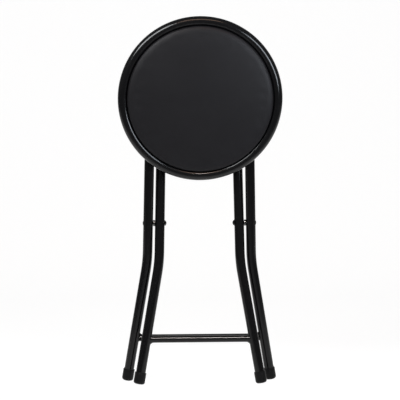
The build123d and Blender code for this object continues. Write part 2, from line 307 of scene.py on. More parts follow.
# %% [markdown]
# ## Lamps read from the rim
#
# The rolled rim is a ring of polished black, so it works like a compass for light: each streak on it is a
# lamp, and mirroring the viewing line at the streak gives the lamp's direction. The directions from the two
# sides of the ring cross less than a metre away, so the lamps stood close. There is a broad white soft box to
# the left and above, a tall narrow bluish one to the right, and a warm one over the camera side. A narrow
# lamp draws the bright line along the rungs and the marks on the spacers. A sky image could give these too,
# but soft boxes placed by two angles each are easier to adjust. They are hidden from the camera, because some
# views look straight at them.

# %% Place the soft boxes
RUNG_AIM = Vector((0.0, -0.010, 0.160))
seat_centre = seat_plane.translation


def soft_box(name, target, azimuth, elevation, distance, size, radiance, colour, roll=0.0, spread=180.0):
    """An area lamp that faces its target. Azimuth 0 is the viewer's side, and positive is to the right."""
    turn, rise = math.radians(azimuth), math.radians(elevation)
    back = Vector((math.sin(turn) * math.cos(rise), -math.cos(turn) * math.cos(rise), math.sin(rise)))
    half_spread = math.radians(spread) / 2
    data = bpy.data.lights.new(name, "AREA")
    data.shape = "RECTANGLE"
    data.size, data.size_y = size
    # A narrow spread concentrates the same power, so the power comes down to keep the radiance on the axis
    data.energy = radiance * math.pi * size[0] * size[1] * (1 - half_spread / math.tan(half_spread))
    data.color = colour
    data.spread = math.radians(spread)
    made = add_object(name, data)
    aim = back.to_track_quat("Z", "Y").to_matrix().to_4x4() @ Matrix.Rotation(math.radians(roll), 4, "Z")
    made.matrix_world = Matrix.Translation(target + back * distance) @ aim
    made.visible_camera = False


soft_box("left_soft_box", seat_centre, azimuth=-37, elevation=33, distance=0.85, size=(0.48, 0.28),
         radiance=13.0, colour=(0.96, 0.985, 1.0), roll=25)
soft_box("right_strip_box", seat_centre, azimuth=36, elevation=10, distance=0.76, size=(0.22, 0.40),
         radiance=11.4, colour=(0.84, 0.91, 1.0), roll=35)
soft_box("warm_soft_box", seat_centre, azimuth=3, elevation=43, distance=3.0, size=(1.4, 0.66),
         radiance=6.2, colour=(1.0, 0.66, 0.50), spread=60.0)
soft_box("rung_lamp", RUNG_AIM, azimuth=3, elevation=44.2, distance=1.8, size=(0.45, 0.1),
         radiance=270.0, colour=(1.0, 0.95, 0.93), spread=12.5)

# %% [markdown]
# ## Shared surface effects
#
# Enamel, vinyl, plastic and steel are different stuffs, but some effects repeat. Sprayed paint has a faint
# orange peel. Vinyl and moulded plastic have a cell-like grain. Everything that is handled has patches that
# are a little duller. Each effect is one node group with its sizes as inputs, so a material is mostly a
# choice of numbers.

# %% Build the peel of sprayed paint


def noise(tree, scale, detail, roughness=0.5):
    """Add a noise that lies in the piece's own coordinates."""
    place = tree.nodes.new("ShaderNodeTexCoord")
    return add_node(tree, "ShaderNodeTexNoise", {
        "Vector": place.outputs["Object"], "Scale": scale, "Detail": detail, "Roughness": roughness})


orange_peel, given, result = new_group(
    "orange_peel", "ShaderNodeTree", [("Scale", "Float", 300.0)], [("Height", "Float")])
waves = noise(orange_peel, given.outputs["Scale"], detail=1.5, roughness=0.4)
orange_peel.links.new(waves.outputs[0], result.inputs["Height"])
print("orange peel", len(orange_peel.nodes), "nodes")

# %% Build the grain of vinyl and plastic
cell_grain, given, result = new_group(
    "cell_grain", "ShaderNodeTree",
    [("Scale", "Float", 900.0), ("Crease", "Float", 0.25)],
    [("Height", "Float")],
)
place = cell_grain.nodes.new("ShaderNodeTexCoord")
wander = noise(cell_grain, scale=260.0, detail=2.0)
shift = add_node(cell_grain, "ShaderNodeVectorMath", {
    0: wander.outputs["Color"], "Scale": 0.0012}, operation="SCALE")
moved = add_node(cell_grain, "ShaderNodeVectorMath", {
    0: place.outputs["Object"], 1: shift.outputs[0]}, operation="ADD")
cells = add_node(cell_grain, "ShaderNodeTexVoronoi", {
    "Vector": moved.outputs[0], "Scale": given.outputs["Scale"]}, feature="DISTANCE_TO_EDGE")
crease = add_node(cell_grain, "ShaderNodeMapRange", {
    "Value": cells.outputs["Distance"], "From Max": given.outputs["Crease"]},
    interpolation_type="SMOOTHSTEP")
cell_grain.links.new(crease.outputs["Result"], result.inputs["Height"])
print("cell grain", len(cell_grain.nodes), "nodes")

# %% Build the dull patches and the dust
DUST = (0.30, 0.28, 0.26, 1)

handled_surface, given, result = new_group(
    "handled_surface", "ShaderNodeTree",
    [("Colour", "Color", grey(0.02)), ("Dust", "Float", 0.1), ("Low Roughness", "Float", 0.15),
     ("High Roughness", "Float", 0.3), ("Patch Scale", "Float", 18.0)],
    [("Colour", "Color"), ("Roughness", "Float")],
)
patches = noise(handled_surface, given.outputs["Patch Scale"], detail=5.0, roughness=0.6)
dull = add_node(handled_surface, "ShaderNodeMapRange", {
    "Value": patches.outputs[0], "From Min": 0.35, "From Max": 0.7,
    "To Min": given.outputs["Low Roughness"], "To Max": given.outputs["High Roughness"]})
handled_surface.links.new(dull.outputs["Result"], result.inputs["Roughness"])
specks = noise(handled_surface, scale=1400.0, detail=2.0)
grit = add_node(handled_surface, "ShaderNodeMapRange", {
    "Value": specks.outputs[0], "From Min": 0.55, "From Max": 0.8, "To Max": given.outputs["Dust"]})
settled = math_node(handled_surface, "MULTIPLY", grit.outputs["Result"], patches.outputs[0])
dusty = add_node(handled_surface, "ShaderNodeMix", {
    0: settled, 6: given.outputs["Colour"], 7: DUST}, data_type="RGBA")
handled_surface.links.new(dusty.outputs[2], result.inputs["Colour"])
print("shader groups", [group.name for group in bpy.data.node_groups])

# %% [markdown]
# ## Finishes
#
# Gloss enamel on the rim, a less reflective one on the tubes, fine-grained vinyl on the pad, moulded plastic
# on the feet and clips, bright zinc on the screws. Colours are written as they are, very dark, and the gloss
# comes from the shader and the lamps. One function makes them all, because they differ only in numbers and in
# their bump.

# %% Define a finish


def peel_bump(scale, strength, depth):
    """The bump of sprayed paint or plating."""
    return orange_peel, {"Scale": scale}, strength, depth


def grain_bump(scale, crease, strength, depth):
    """The bump of grained vinyl, plastic or foam."""
    return cell_grain, {"Scale": scale, "Crease": crease}, strength, depth


def finish_material(name, colour, dust, rough, patch, bump, metallic=0.0, specular=0.5):
    """A finish: its colour with dust, its roughness range over patches, and the bump of a shared group."""
    tree, shader, made = new_material(name)
    skin = add_node(tree, "ShaderNodeGroup", {
        "Colour": colour + (1,), "Dust": dust, "Low Roughness": rough[0], "High Roughness": rough[1],
        "Patch Scale": patch}, node_tree=handled_surface)
    tree.links.new(skin.outputs["Colour"], shader.inputs["Base Color"])
    tree.links.new(skin.outputs["Roughness"], shader.inputs["Roughness"])
    shader.inputs["Metallic"].default_value = metallic
    shader.inputs["Specular IOR Level"].default_value = specular
    group, values, strength, depth = bump
    relief = add_node(tree, "ShaderNodeGroup", values, node_tree=group)
    raised = add_node(tree, "ShaderNodeBump", {
        "Height": relief.outputs["Height"], "Strength": strength, "Distance": depth})
    tree.links.new(raised.outputs["Normal"], shader.inputs["Normal"])
    return made


print("bumps to choose from", [orange_peel.name, cell_grain.name])

# %% Make the finishes that show
rim_enamel = finish_material(
    "rim_enamel", colour=(0.003, 0.003, 0.0035), dust=0.01, rough=(0.13, 0.19), patch=30.0,
    bump=peel_bump(scale=260.0, strength=0.12, depth=0.05 * MM), specular=0.38)
tube_enamel = finish_material(
    "tube_enamel", colour=(0.0034, 0.0033, 0.0038), dust=0.012, rough=(0.09, 0.15), patch=24.0,
    bump=peel_bump(scale=320.0, strength=0.08, depth=0.05 * MM), specular=0.25)
pad_vinyl = finish_material(
    "pad_vinyl", colour=(0.0102, 0.0099, 0.0114), dust=0.01, rough=(0.44, 0.54), patch=14.0,
    bump=grain_bump(scale=800.0, crease=0.22, strength=0.35, depth=0.08 * MM), specular=0.2)
foot_plastic = finish_material(
    "foot_plastic", colour=(0.004, 0.004, 0.0045), dust=0.02, rough=(0.40, 0.55), patch=60.0,
    bump=grain_bump(scale=1600.0, crease=0.4, strength=0.3, depth=0.03 * MM), specular=0.15)
clip_plastic = finish_material(
    "clip_plastic", colour=(0.022, 0.022, 0.023), dust=0.04, rough=(0.35, 0.5), patch=60.0,
    bump=grain_bump(scale=1800.0, crease=0.4, strength=0.25, depth=0.03 * MM))
zinc_plate = finish_material(
    "zinc_plate", colour=(0.62, 0.62, 0.60), dust=0.0, rough=(0.22, 0.38), patch=300.0,
    bump=peel_bump(scale=900.0, strength=0.2, depth=0.02 * MM), metallic=1.0)
black_steel = finish_material(
    "black_steel", colour=(0.003, 0.003, 0.0035), dust=0.01, rough=(0.10, 0.18), patch=200.0,
    bump=peel_bump(scale=600.0, strength=0.1, depth=0.02 * MM), specular=0.3)
spacer_steel = finish_material(
    "spacer_steel", colour=(0.003, 0.003, 0.0035), dust=0.0, rough=(0.05, 0.08), patch=200.0,
    bump=peel_bump(scale=600.0, strength=0.03, depth=0.01 * MM), specular=1.0)
print("finishes", [m.name for m in bpy.data.materials])

# %% [markdown]
# ## Board and foam
#
# Inside the cover lie a plywood disc and a layer of foam. Nobody sees them unless the seat is taken apart,
# but they are parts of the stool, so they get their own finishes too. Plywood is bands of light and dark
# veneer, one on top of the other. The bands follow the height over the seat's own plane, which is a dot
# product with the seat's normal.

# %% Make the hidden finishes
VENEER_T = 1.2 * MM
VENEER_DARK = (0.36, 0.24, 0.13, 1)
VENEER_LIGHT = (0.62, 0.46, 0.29, 1)
VENEER_ROUGHNESS = 0.7
seat_normal = seat_plane.to_3x3().col[2]

tree, shader, veneer_ply = new_material("veneer_ply")
place = tree.nodes.new("ShaderNodeTexCoord")
height = add_node(tree, "ShaderNodeVectorMath", {0: place.outputs["Object"], 1: seat_normal},
                  operation="DOT_PRODUCT")
band = math_node(tree, "SINE", math_node(tree, "MULTIPLY", height.outputs["Value"], math.pi / VENEER_T))
tone = add_node(tree, "ShaderNodeMapRange", {"Value": band, "From Min": -0.3, "From Max": 0.3})
fibre = noise(tree, scale=120.0, detail=6.0)
figure = math_node(tree, "MULTIPLY", tone.outputs["Result"], fibre.outputs[0])
wood = add_node(tree, "ShaderNodeMix", {0: figure, 6: VENEER_DARK, 7: VENEER_LIGHT}, data_type="RGBA")
tree.links.new(wood.outputs[2], shader.inputs["Base Color"])
shader.inputs["Roughness"].default_value = VENEER_ROUGHNESS

pad_foam = finish_material(
    "pad_foam", colour=(0.75, 0.68, 0.42), dust=0.05, rough=(0.85, 0.95), patch=40.0,
    bump=grain_bump(scale=1300.0, crease=0.5, strength=0.8, depth=0.3 * MM))

cad_finishes = {
    "bar_clip_left": clip_plastic,
    "bar_clip_right": clip_plastic,
    "seat_board": veneer_ply,
    "seat_foam": pad_foam,
}
for name, material in cad_finishes.items():
    nodes[name].data.materials.clear()
    nodes[name].data.materials.append(material)
print("finished CAD parts", len(cad_finishes))

# %% [markdown]
# ## Leg tubes
#
# Each leg frame is one steel tube: up from a foot, through a gentle bend below the pivot, round a tight
# corner, across the top and down again. It could be a beveled curve. Geometry Nodes do it with every size as
# a named input: the path's corners are rounded, each by the radius stored on its own point, and a circle is
# swept along.

# %% Build the tube tree
TUBE_SIDES = 64
BEND_STEPS = 24

tube_tree, given, result = new_group(
    "tube_along_path", "GeometryNodeTree",
    [("Geometry", "Geometry", None), ("Tube Radius", "Float", TUBE_R), ("Sides", "Int", TUBE_SIDES),
     ("Bend Steps", "Int", BEND_STEPS), ("Material", "Material", None)],
    [("Geometry", "Geometry")],
)
bend = tube_tree.nodes.new("GeometryNodeInputRadius")
rounded = add_node(tube_tree, "GeometryNodeFilletCurve", {
    "Curve": given.outputs["Geometry"], "Count": given.outputs["Bend Steps"], "Radius": bend.outputs[0]},
    mode="POLY")
even = add_node(tube_tree, "GeometryNodeSetCurveRadius", {"Curve": rounded.outputs[0], "Radius": 1.0})
section = add_node(tube_tree, "GeometryNodeCurvePrimitiveCircle", {
    "Resolution": given.outputs["Sides"], "Radius": given.outputs["Tube Radius"]})
swept = add_node(tube_tree, "GeometryNodeCurveToMesh", {
    "Curve": even.outputs[0], "Profile Curve": section.outputs[0], "Fill Caps": True})
smooth = add_node(tube_tree, "GeometryNodeSetShadeSmooth", {"Geometry": swept.outputs[0]})


def end_tree(tree, given, result, shape):
    """End a tree with plain geometry in the material that its input names."""
    whole = add_node(tree, "GeometryNodeRealizeInstances", {"Geometry": shape.outputs[0]})
    coloured = add_node(tree, "GeometryNodeSetMaterial", {
        "Geometry": whole.outputs[0], "Material": given.outputs["Material"]})
    tree.links.new(coloured.outputs[0], result.inputs["Geometry"])


end_tree(tube_tree, given, result, smooth)
print("tube tree", len(tube_tree.nodes), "nodes")

# %% Define how a mesh becomes a piece


def add_modifier(carrier, kind, **settings):
    """Add a modifier to an object and set its properties."""
    made = carrier.modifiers.new(kind.lower(), kind)
    for name, value in settings.items():
        setattr(made, name, value)
    return made


def plain_mesh(carrier):
    """The mesh that an object's modifiers make of it. The object is removed."""
    shown = carrier.evaluated_get(bpy.context.evaluated_depsgraph_get())
    mesh = bpy.data.meshes.new_from_object(shown)
    bpy.data.objects.remove(carrier)
    return mesh


def run_tree(carrier, tree, values):
    """Run a Geometry Nodes tree on an object and hand back its result as a plain mesh."""
    modifier = add_modifier(carrier, "NODES", node_group=tree)
    sockets = [item for item in tree.interface.items_tree if item.in_out == "INPUT"]
    identifiers = {socket.name: socket.identifier for socket in sockets}
    for name, value in values.items():
        modifier[identifiers[name]] = value
    return plain_mesh(carrier)


def keep_piece(name, mesh, body, slot, *replaced):
    """Put a finished mesh in the scene as a piece of the stool."""
    mesh.name = name
    made = add_object(name, mesh)
    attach(made, body)
    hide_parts(*replaced)
    print(name, "on", body, "with", len(mesh.polygons), "faces")
    return made


# %% Lay out the legs
UPPER_SPLAY = math.radians(1.16)
SOLE_DROP = 296.0 * MM
SOLE_T = 4.0 * MM
LEG_BEND_R = 280.0 * MM
CORNER_R = 36.0 * MM
BAR_STEP = 17.0 * MM
TUBE_GAP = 3.5 * MM
OUTER_PIVOT_HALF = 94.6 * MM
INNER_PIVOT_HALF = OUTER_PIVOT_HALF - 2 * TUBE_R - TUBE_GAP
LEGS = {
    "outer": {"plane": outer_plane, "pivot_half": OUTER_PIVOT_HALF, "bar_rise": bar_rise,
              "bend_drop": 70.7 * MM, "lower_splay": math.radians(9.54)},
    "inner": {"plane": inner_plane, "pivot_half": INNER_PIVOT_HALF, "bar_rise": bar_rise - BAR_STEP,
              "bend_drop": 72.2 * MM, "lower_splay": math.radians(9.82)},
}


def half_width(leg, rise):
    """Distance from the middle to a leg's axis, at a height over the pivot."""
    below = max(0.0, -rise - leg["bend_drop"])
    upper = leg["pivot_half"] - rise * math.tan(UPPER_SPLAY)
    return upper + below * (math.tan(leg["lower_splay"]) - math.tan(UPPER_SPLAY))


for name, leg in LEGS.items():
    print(name, "feet", round(2 * half_width(leg, -SOLE_DROP) / MM, 1), "mm apart")

# %% Bend both leg tubes


def path_object(name, plane, stops):
    """A curve in a leg frame's plane, with each corner's bend radius kept on its point."""
    data = bpy.data.curves.new(name, "CURVE")
    data.dimensions = "3D"
    spline = data.splines.new("POLY")
    spline.points.add(len(stops) - 1)
    for point, ((x, y), radius) in zip(spline.points, stops):
        point.co = (*(plane @ Vector((x, y, 0))), 1)
        point.radius = radius
    return add_object(name, data)


def leg_stops(leg):
    """Corners of a leg frame's tube, from the left foot to the right one, each with its bend radius."""
    splay = leg["lower_splay"]
    foot_x = half_width(leg, -SOLE_DROP) - SOLE_T * math.sin(splay)
    foot = (foot_x, -SOLE_DROP + SOLE_T * math.cos(splay))
    bend = (half_width(leg, -leg["bend_drop"]), -leg["bend_drop"])
    corner = (half_width(leg, leg["bar_rise"]), leg["bar_rise"])
    right = [(foot, 0.0), (bend, LEG_BEND_R), (corner, CORNER_R)]
    left = [((-x, y), radius) for (x, y), radius in right]
    return left + right[::-1]


for name, leg in LEGS.items():
    path = path_object(name + "_path", leg["plane"], leg_stops(leg))
    mesh = run_tree(path, tube_tree, {
        "Tube Radius": TUBE_R, "Sides": TUBE_SIDES, "Bend Steps": BEND_STEPS, "Material": tube_enamel})
    keep_piece(name + "_tube", mesh, name + "_frame", "black_paint", name + "_leg_tube")

# %% [markdown]
# ## Rungs and welds
#
# A thinner tube is let in between the legs of each frame, and a weld runs round each of its ends. The weld is
# fat on one side, where the welder began: over the outer rung and under the inner one. A torus would sit in
# the air, because the seam between two round tubes is a saddle. So each cross section of the weld is worked
# out from the two tubes: it starts on the rung, ends on the leg, and a curve between them is lifted a little
# for each ripple of the bead.

# %% Work out the welds
RUNG_R = 6.35 * MM
RUNG_DROPS = {"outer": 216.0 * MM, "inner": 214.0 * MM}
WELD_SIDES = {"outer": 1, "inner": -1}
WELD_WIDTH = 1.3 * MM
WELD_FLARE_ALONG = 3.7 * MM
WELD_FLARE_BESIDE = 2.4 * MM
WELD_FULLNESS = 0.45
WELD_ROOT = 0.8 * MM
WELD_RIPPLES = 26
WELD_RIPPLE_HEIGHT = 0.14 * MM
WELD_STEPS = 156
WELD_ROWS = 6


def on_leg(leg, drop, turn, reach):
    """Point on the right leg's surface, at an angle round the rung's axis and a distance from it."""
    up = reach * math.sin(turn)
    out = reach * math.cos(turn)
    inward = math.sqrt(TUBE_R**2 - out**2) + up * math.sin(leg["lower_splay"])
    return Vector((half_width(leg, -drop) - inward / math.cos(leg["lower_splay"]), up - drop, out))


def weld_loop(leg, drop, weld_side, turn):
    """The weld's cross section at one angle round the rung, as a closed loop of points."""
    flare = max(0.0, weld_side * math.sin(turn)) ** 3
    seam = on_leg(leg, drop, turn, RUNG_R)
    start = seam - Vector((WELD_WIDTH + WELD_FLARE_ALONG * flare, 0, 0))
    end = on_leg(leg, drop, turn, RUNG_R + WELD_WIDTH + WELD_FLARE_BESIDE * flare)
    middle = (start + end) / 2
    outwards = (middle - seam).normalized()
    pull = seam.lerp(middle, WELD_FULLNESS)
    ripple = outwards * WELD_RIPPLE_HEIGHT * abs(math.sin(WELD_RIPPLES * turn / 2))
    loop = [seam - outwards * WELD_ROOT]
    for row in range(WELD_ROWS + 1):
        t = row / WELD_ROWS
        loop.append(start * (1 - t)**2 + (pull + ripple) * 2 * t * (1 - t) + end * t**2)
    return loop


fat_loop = weld_loop(LEGS["outer"], RUNG_DROPS["outer"], WELD_SIDES["outer"], math.radians(90))
print("fat side of a weld", round((fat_loop[1] - fat_loop[-1]).length / MM, 1), "mm across")

# %% Make a mesh of a weld
SHARP_ANGLE = math.radians(40)


def closed_mesh(name, points, faces, material):
    """A smooth mesh with its faces outwards and its corners sharp."""
    mesh = mesh_from(name, points, faces)
    shape = bmesh.new()
    shape.from_mesh(mesh)
    bmesh.ops.recalc_face_normals(shape, faces=shape.faces)
    shape.to_mesh(mesh)
    shape.free()
    mesh.shade_smooth()
    mesh.set_sharp_from_angle(angle=SHARP_ANGLE)
    mesh.materials.append(material)
    return mesh


def weld_mesh(leg, drop, weld_side, side):
    """The weld at one end of a rung, in the frame's plane."""
    turns = [2 * math.pi * step / WELD_STEPS for step in range(WELD_STEPS)]
    loops = [weld_loop(leg, drop, weld_side, turn) for turn in turns]
    size = len(loops[0])
    points = [(side * p.x, p.y, p.z) for loop in loops for p in loop]
    faces = []
    for step in range(WELD_STEPS):
        here, there = step * size, (step + 1) % WELD_STEPS * size
        for k in range(size):
            after = (k + 1) % size
            faces.append((here + k, there + k, there + after, here + after))
    return closed_mesh("weld", points, faces, tube_enamel)


print("each weld takes", WELD_STEPS, "cross sections")

# %% Weld the rungs in
RUNG_SINK = 4.0 * MM


def joined_mesh(name, meshes):
    """One mesh from several that share a material."""
    shape = bmesh.new()
    for mesh in meshes:
        shape.from_mesh(mesh)
    joined = bpy.data.meshes.new(name)
    shape.to_mesh(joined)
    shape.free()
    joined.materials.append(meshes[0].materials[0])
    return joined


for name, leg in LEGS.items():
    drop = RUNG_DROPS[name]
    reach = half_width(leg, -drop) - RUNG_SINK
    path = path_object(name + "_rung_path", leg["plane"], [((-reach, -drop), 0.0), ((reach, -drop), 0.0)])
    rung = run_tree(path, tube_tree, {
        "Tube Radius": RUNG_R, "Sides": TUBE_SIDES, "Bend Steps": 1, "Material": tube_enamel})
    welds = [weld_mesh(leg, drop, WELD_SIDES[name], side) for side in (-1, 1)]
    for weld in welds:
        weld.transform(leg["plane"])
    mesh = joined_mesh(name + "_rung_welded", [rung] + welds)
    keep_piece(name + "_rung_welded", mesh, name + "_frame", "black_paint", name + "_rung")

# %% [markdown]
# ## The pan and its rolled rim
#
# The rim that frames the pad is the edge of a shallow steel pan, rolled outwards into a bead and curled
# under. It is round, so one half section turned about the middle gives all of it. The half section is drawn
# from arcs and short lines, and a small lathe function turns it. Spin in edit mode would do the same, with a
# seam to merge afterwards.

# %% Turn the seat pan
SEAT_R = 150.0 * MM
BEAD_R = 9.2 * MM
BEAD_CURL = 40.0
PAN_SHEET = 0.8 * MM
PAN_CORNER_R = 3.0 * MM
PAN_STEPS = 192
FLOOR_STOPS = [0.0, 0.3, 0.6, 0.8, 0.9, 0.97]
RING_R = SEAT_R - BEAD_R
PAN_WALL_R = RING_R - BEAD_R


def lathe(section, steps, closed):
    """Turn a half section of (radius, height) points about the Z axis. Points on the axis become poles."""
    points, rows, faces = [], [], []
    for radius, height in section:
        if radius == 0:
            rows.append([len(points)] * steps)
            points.append((0.0, 0.0, height))
            continue
        rows.append(range(len(points), len(points) + steps))
        for step in range(steps):
            turn = 2 * math.pi * step / steps
            points.append((radius * math.cos(turn), radius * math.sin(turn), height))
    pairs = list(zip(rows, rows[1:]))
    if closed:
        pairs.append((rows[-1], rows[0]))
    for low, high in pairs:
        for step in range(steps):
            after = (step + 1) % steps
            corners = [low[step], low[after], high[after], high[step]]
            faces.append(tuple(dict.fromkeys(corners)))
    return points, faces


def turned_mesh(name, section, steps, material, closed=False):
    """A turned piece as a mesh. A closed section is a ring that doesn't reach the axis."""
    return closed_mesh(name, *lathe(section, steps, closed), material)


bead_centre = (RING_R, BEAD_R)
bead_sweep = 270 + BEAD_CURL
corner_x = PAN_WALL_R - PAN_CORNER_R
corner_centre = (corner_x, PAN_SHEET + PAN_CORNER_R)
pan_section = [(corner_x * stop, PAN_SHEET) for stop in FLOOR_STOPS]
pan_section += arc(corner_centre, PAN_CORNER_R, -90, 90, steps=8)
pan_section += arc(bead_centre, BEAD_R, 180, -bead_sweep, steps=72)
pan_section += arc(bead_centre, BEAD_R - PAN_SHEET, 180 - bead_sweep, bead_sweep, steps=60)
pan_section += arc(corner_centre, PAN_CORNER_R + PAN_SHEET, 0, -90, steps=8)
pan_section += [(corner_x * stop, 0.0) for stop in FLOOR_STOPS[::-1]]
mesh = turned_mesh("rolled_pan", pan_section, PAN_STEPS, rim_enamel)
mesh.transform(seat_plane)
keep_piece("rolled_pan", mesh, "seat", "black_paint", "seat_pan")

# %% [markdown]
# ## The pad
#
# Under the vinyl lies foam on a board. The cover is drawn down all round and tucked behind the rim, so the
# pad is crowned, has a soft shoulder and bulges a little over the rim's inner side. A turned solid has the
# right sizes but looks machined. So the turned form is remeshed into even squares, and cloth simulation with
# a little pressure inside pulls it tight, while the part that sits in the pan is held. No point may move
# further than a small reach.

# %% Draw the pad's section
PAD_GAP = 0.4 * MM
PAD_R = PAN_WALL_R - PAD_GAP
PAD_TUCK = 31.0
PAD_EDGE_R = 4.8 * MM
PAD_EDGE_SLOPE = 25.0
PAD_SHOULDER_R = 26.0 * MM
PAD_CROWN_SLOPE = 4.0
BASE_STOPS = [0.0, 0.25, 0.5, 0.75]


def pad_section(inset):
    """Half section of the pad, drawn in by an inset: base, tucked side, bulging edge, shoulder, crown."""
    low = PAN_SHEET + inset
    corner = PAN_CORNER_R - inset
    base = PAD_R - inset - corner
    tuck_r = BEAD_R + PAD_GAP + inset
    edge_r = PAD_EDGE_R - inset
    edge_end = 90 - PAD_EDGE_SLOPE
    edge_centre = from_centre(bead_centre, tuck_r + edge_r, 180 - PAD_TUCK)
    shoulder_r = PAD_SHOULDER_R - inset
    shoulder_centre = from_centre(edge_centre, edge_r - shoulder_r, edge_end)
    crown_turn = math.radians(PAD_CROWN_SLOPE)
    crown_centre = (0.0, shoulder_centre[1] - shoulder_centre[0] / math.tan(crown_turn))
    crown_r = shoulder_r + shoulder_centre[0] / math.sin(crown_turn)
    points = [(base * stop, low) for stop in BASE_STOPS]
    points += arc((base, low + corner), corner, -90, 90, steps=6)
    points += arc(bead_centre, tuck_r, 180, -PAD_TUCK, steps=6)
    points += arc(edge_centre, edge_r, -PAD_TUCK, edge_end + PAD_TUCK, steps=20)[1:]
    points += arc(shoulder_centre, shoulder_r, edge_end, PAD_EDGE_SLOPE - PAD_CROWN_SLOPE, steps=12)[1:]
    points += arc(crown_centre, crown_r, 90 - PAD_CROWN_SLOPE, PAD_CROWN_SLOPE, steps=30)[1:-1]
    return points + [(0.0, crown_centre[1] + crown_r)]


print("crown", round((pad_section(0.0)[-1][1] - 2 * BEAD_R) / MM, 1), "mm over the rim")

# %% Define how cloth pulls the pad tight
PAD_PRESSURE = 4.0
PAD_REACH = 0.6 * MM
PAD_FRAMES = 20


def pull_tight(even):
    """Run cloth with pressure inside on the pad, then keep each point within reach of where it began."""
    carrier = add_object("pad_cloth", even)
    held = carrier.vertex_groups.new(name="held_in_the_pan")
    held.add([v.index for v in even.vertices if v.co.z < BEAD_R + PAD_EDGE_R / 2], 1.0, "REPLACE")
    cloth = add_modifier(carrier, "CLOTH")
    cloth.settings.vertex_group_mass = held.name
    cloth.settings.use_pressure = True
    cloth.settings.uniform_pressure_force = PAD_PRESSURE
    cloth.settings.effector_weights.gravity = 0.0
    for frame_number in range(1, PAD_FRAMES + 1):
        scene.frame_set(frame_number)
    settled = plain_mesh(carrier)
    scene.frame_set(1)
    tight = even.copy()
    for vert, pulled in zip(tight.vertices, settled.vertices):
        step = pulled.co - vert.co
        step -= vert.normal * min(0.0, step.dot(vert.normal))
        if step.length > PAD_REACH:
            step *= PAD_REACH / step.length
        vert.co += step
    return tight


print("cloth may move a point", round(PAD_REACH / MM, 2), "mm")

# %% Remesh the pad and pull it tight
PAD_SLACK = 0.3 * MM
PAD_STEPS = 160
PAD_VOXEL = 4.0 * MM


def modified(mesh, kind, **settings):
    """The mesh that one modifier makes of a mesh."""
    carrier = add_object(mesh.name, mesh)
    add_modifier(carrier, kind, **settings)
    return plain_mesh(carrier)


def snap(mesh, turned):
    """Put every point of a mesh on the turned form's surface."""
    corners = [v.co for v in turned.vertices]
    surface = BVHTree.FromPolygons(corners, [tuple(p.vertices) for p in turned.polygons])
    for vert in mesh.vertices:
        vert.co = surface.find_nearest(vert.co)[0]


turned = turned_mesh("pad_form", pad_section(PAD_SLACK), PAD_STEPS, pad_vinyl)
even = modified(turned, "REMESH", mode="VOXEL", voxel_size=PAD_VOXEL)
snap(even, turned)
tight = pull_tight(even)
mesh, pulled = [modified(form, "SUBSURF", levels=1, render_levels=1) for form in (even, tight)]
moves = [new.co - old.co for new, old in zip(pulled.vertices, mesh.vertices)]
snap(mesh, turned)
for vert, move in zip(mesh.vertices, moves):
    vert.co += move
mesh.materials.clear()
mesh.materials.append(pad_vinyl)
mesh.shade_smooth()
mesh.transform(seat_plane)
pad = keep_piece("vinyl_pad", mesh, "seat", "pad_vinyl", "seat_cover")
print("cloth moved the pad", round(max(move.length for move in moves) / MM, 2), "mm at most")

# %% [markdown]
# ## Foot caps
#
# A moulded cap is pressed over each tube end. Its sole has a well rounded edge and is square to the leg, so
# the folded stool stands on the soles' low edges. A cylinder would show a hard edge here. The cap is turned
# from a cup-shaped section and stood along its leg.

# %% Turn the foot caps
FOOT_R = 10.55 * MM
FOOT_LENGTH = 21.6 * MM
FOOT_LIP = 0.6 * MM
FOOT_FIT = 0.05 * MM
FOOT_BORE_R = TUBE_R + FOOT_FIT
SOLE_EDGE_R = 4.5 * MM
FOOT_STEPS = 72
SIDES = {"left": -1, "right": 1}

foot_section = [(0.0, 0.0), ((FOOT_R - SOLE_EDGE_R) / 2, 0.0)]
foot_section += arc((FOOT_R - SOLE_EDGE_R, SOLE_EDGE_R), SOLE_EDGE_R, -90, 90, steps=14)
foot_section += arc((FOOT_R - FOOT_LIP, FOOT_LENGTH - FOOT_LIP), FOOT_LIP, 0, 90, steps=5)
foot_section += [(FOOT_BORE_R, FOOT_LENGTH), (FOOT_BORE_R, SOLE_T), (0.0, SOLE_T)]


def standing(place, axis):
    """Matrix that stands a turned piece at a place, with its Z along an axis."""
    return Matrix.Translation(place) @ axis.to_track_quat("Z", "Y").to_matrix().to_4x4()


for name, leg in LEGS.items():
    splay = leg["lower_splay"]
    for side_name, side in SIDES.items():
        sole = leg["plane"] @ Vector((side * half_width(leg, -SOLE_DROP), -SOLE_DROP, 0))
        leg_up = leg["plane"].to_3x3() @ Vector((-side * math.sin(splay), math.cos(splay), 0))
        mesh = turned_mesh("foot_cap", foot_section, FOOT_STEPS, foot_plastic)
        mesh.transform(standing(sole, leg_up))
        node = f"{name}_foot_{side_name}"
        keep_piece(f"{name}_cap_{side_name}", mesh, name + "_frame", "foot_plastic", node)
        print("its lowest point", round(min(v.co.z for v in mesh.vertices) / MM, 3), "mm")

# %% [markdown]
# ## Pivots
#
# On each side a bolt with a low round head goes through both tubes, a spacer keeps the tubes apart, and a
# domed cap nut closes the inner end. All three are turned, and a height in their sections is a distance from
# the middle of the stool. The spacer's rounded edges catch the light, which is the small bright mark in the
# gap between the tubes.

# %% Draw the sections of bolt, nut and spacer
PIVOT_PLAY = 0.2 * MM
PIVOT_R = 3.0 * MM
PIVOT_FIT = 0.05 * MM
BOLT_HEAD_R = 4.5 * MM
BOLT_HEAD_H = 1.0 * MM
NUT_R = 5.5 * MM
NUT_H = 3.2 * MM
NUT_THREAD = 1.8 * MM
SPACER_R = 5.75 * MM
SPACER_EDGE_R = 0.2 * MM


